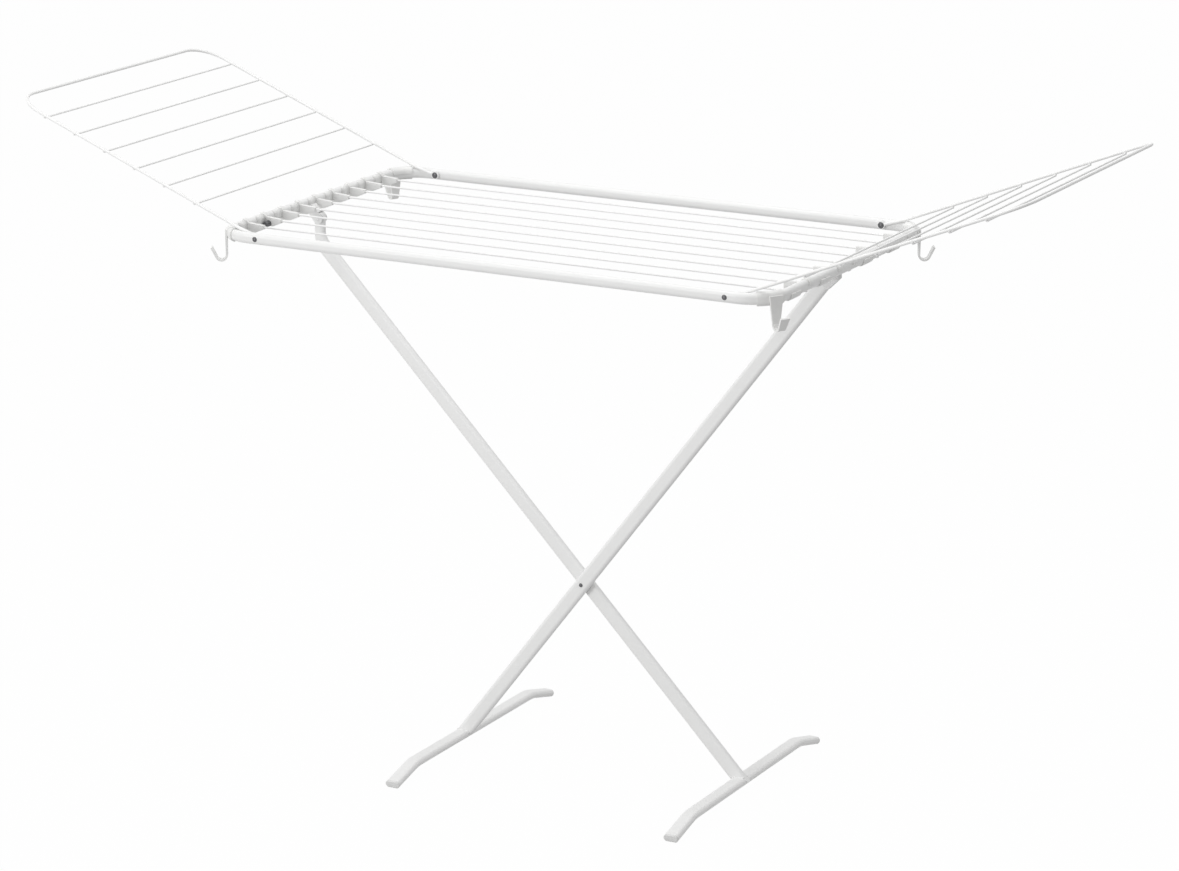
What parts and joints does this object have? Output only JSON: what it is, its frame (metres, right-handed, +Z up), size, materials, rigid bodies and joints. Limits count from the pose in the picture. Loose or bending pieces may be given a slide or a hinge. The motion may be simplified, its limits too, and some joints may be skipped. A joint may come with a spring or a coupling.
{
  "type": "clothes drying rack",
  "caption": "Folding clothes drying rack: a tube frame with straight wires, two hinged wire wings, corner hanger hooks and crossed tube legs on bent foot bars.",
  "frame": {"origin": "on the floor under the centre of the frame", "axes": "+Z up, +X along the rack from the left wing to the right wing, +Y away from the viewer of the picture"},
  "size_m": [1.76, 0.5736, 1.0698],
  "materials": {
    "coated_tube": "white powder coat, satin",
    "coated_wire": "white powder coat, satin",
    "clip_plastic": "moulded white polypropylene",
    "foot_plastic": "moulded white polypropylene",
    "rivet_steel": "dark zinc-plated steel"
  },
  "bodies": {
    "frame": {"frame_tube": "coated_tube", "line_wire_1": "coated_wire", "line_wire_2": "coated_wire", "line_wire_3": "coated_wire", "line_wire_4": "coated_wire", "line_wire_5": "coated_wire", "line_wire_6": "coated_wire", "line_wire_7": "coated_wire", "line_wire_8": "coated_wire", "line_wire_9": "coated_wire", "left_line_clip_1": "clip_plastic", "left_line_clip_2": "clip_plastic", "left_line_clip_3": "clip_plastic", "left_line_clip_4": "clip_plastic", "left_line_clip_5": "clip_plastic", "left_line_clip_6": "clip_plastic", "left_line_clip_7": "clip_plastic", "left_line_clip_8": "clip_plastic", "left_line_clip_9": "clip_plastic", "right_line_clip_1": "clip_plastic", "right_line_clip_2": "clip_plastic", "right_line_clip_3": "clip_plastic", "right_line_clip_4": "clip_plastic", "right_centre_clip": "clip_plastic", "line_clip_screw": "rivet_steel", "left_near_hook": "clip_plastic", "left_far_hook": "clip_plastic", "right_near_hook": "clip_plastic", "right_far_hook": "clip_plastic", "wing_rivets": "rivet_steel", "wing_washers": "foot_plastic", "hinge_bracket": "coated_tube", "hinge_pin": "coated_tube"},
    "left_wing": {"left_wing_frame": "coated_wire", "left_wing_wire_1": "coated_wire", "left_wing_wire_2": "coated_wire", "left_wing_wire_3": "coated_wire", "left_wing_wire_4": "coated_wire", "left_wing_wire_5": "coated_wire", "left_wing_wire_6": "coated_wire"},
    "right_wing": {"right_wing_frame": "coated_wire", "right_wing_wire_1": "coated_wire", "right_wing_wire_2": "coated_wire", "right_wing_wire_3": "coated_wire", "right_wing_wire_4": "coated_wire", "right_wing_wire_5": "coated_wire", "right_wing_wire_6": "coated_wire"},
    "rear_leg_body": {"rear_leg": "coated_tube", "rear_foot": "coated_tube", "rear_foot_cap_near": "foot_plastic", "rear_foot_cap_far": "foot_plastic", "leg_rivet": "rivet_steel", "leg_washer": "foot_plastic"},
    "front_leg_body": {"front_leg": "coated_tube", "front_leg_plug": "foot_plastic", "front_foot": "coated_tube", "front_foot_cap_near": "foot_plastic", "front_foot_cap_far": "foot_plastic"}
  },
  "joints": [
    {"name": "left_wing_fold", "type": "hinge", "parent": "frame", "child": "left_wing", "pos_m": [-0.4123, 0, 0.886], "axis": [0, 1, 0], "range_deg": [0, 157.9]},
    {"name": "right_wing_fold", "type": "hinge", "parent": "frame", "child": "right_wing", "pos_m": [0.4123, 0, 0.886], "axis": [0, -1, 0], "range_deg": [0, 156.3]},
    {"name": "rear_leg_fold", "type": "hinge", "parent": "frame", "child": "rear_leg_body", "pos_m": [-0.4638, 0, 0.862], "axis": [0, -1, 0], "range_deg": [0, 46]},
    {"name": "front_leg_fold", "type": "hinge", "parent": "rear_leg_body", "child": "front_leg_body", "pos_m": [0.03003, 0, 0.31232], "axis": [0, -1, 0], "range_deg": [0, 77.75]}
  ],
  "couplings": [
    {"joint": "front_leg_fold", "follows": "rear_leg_fold", "ratio": 1.6891}
  ]
}
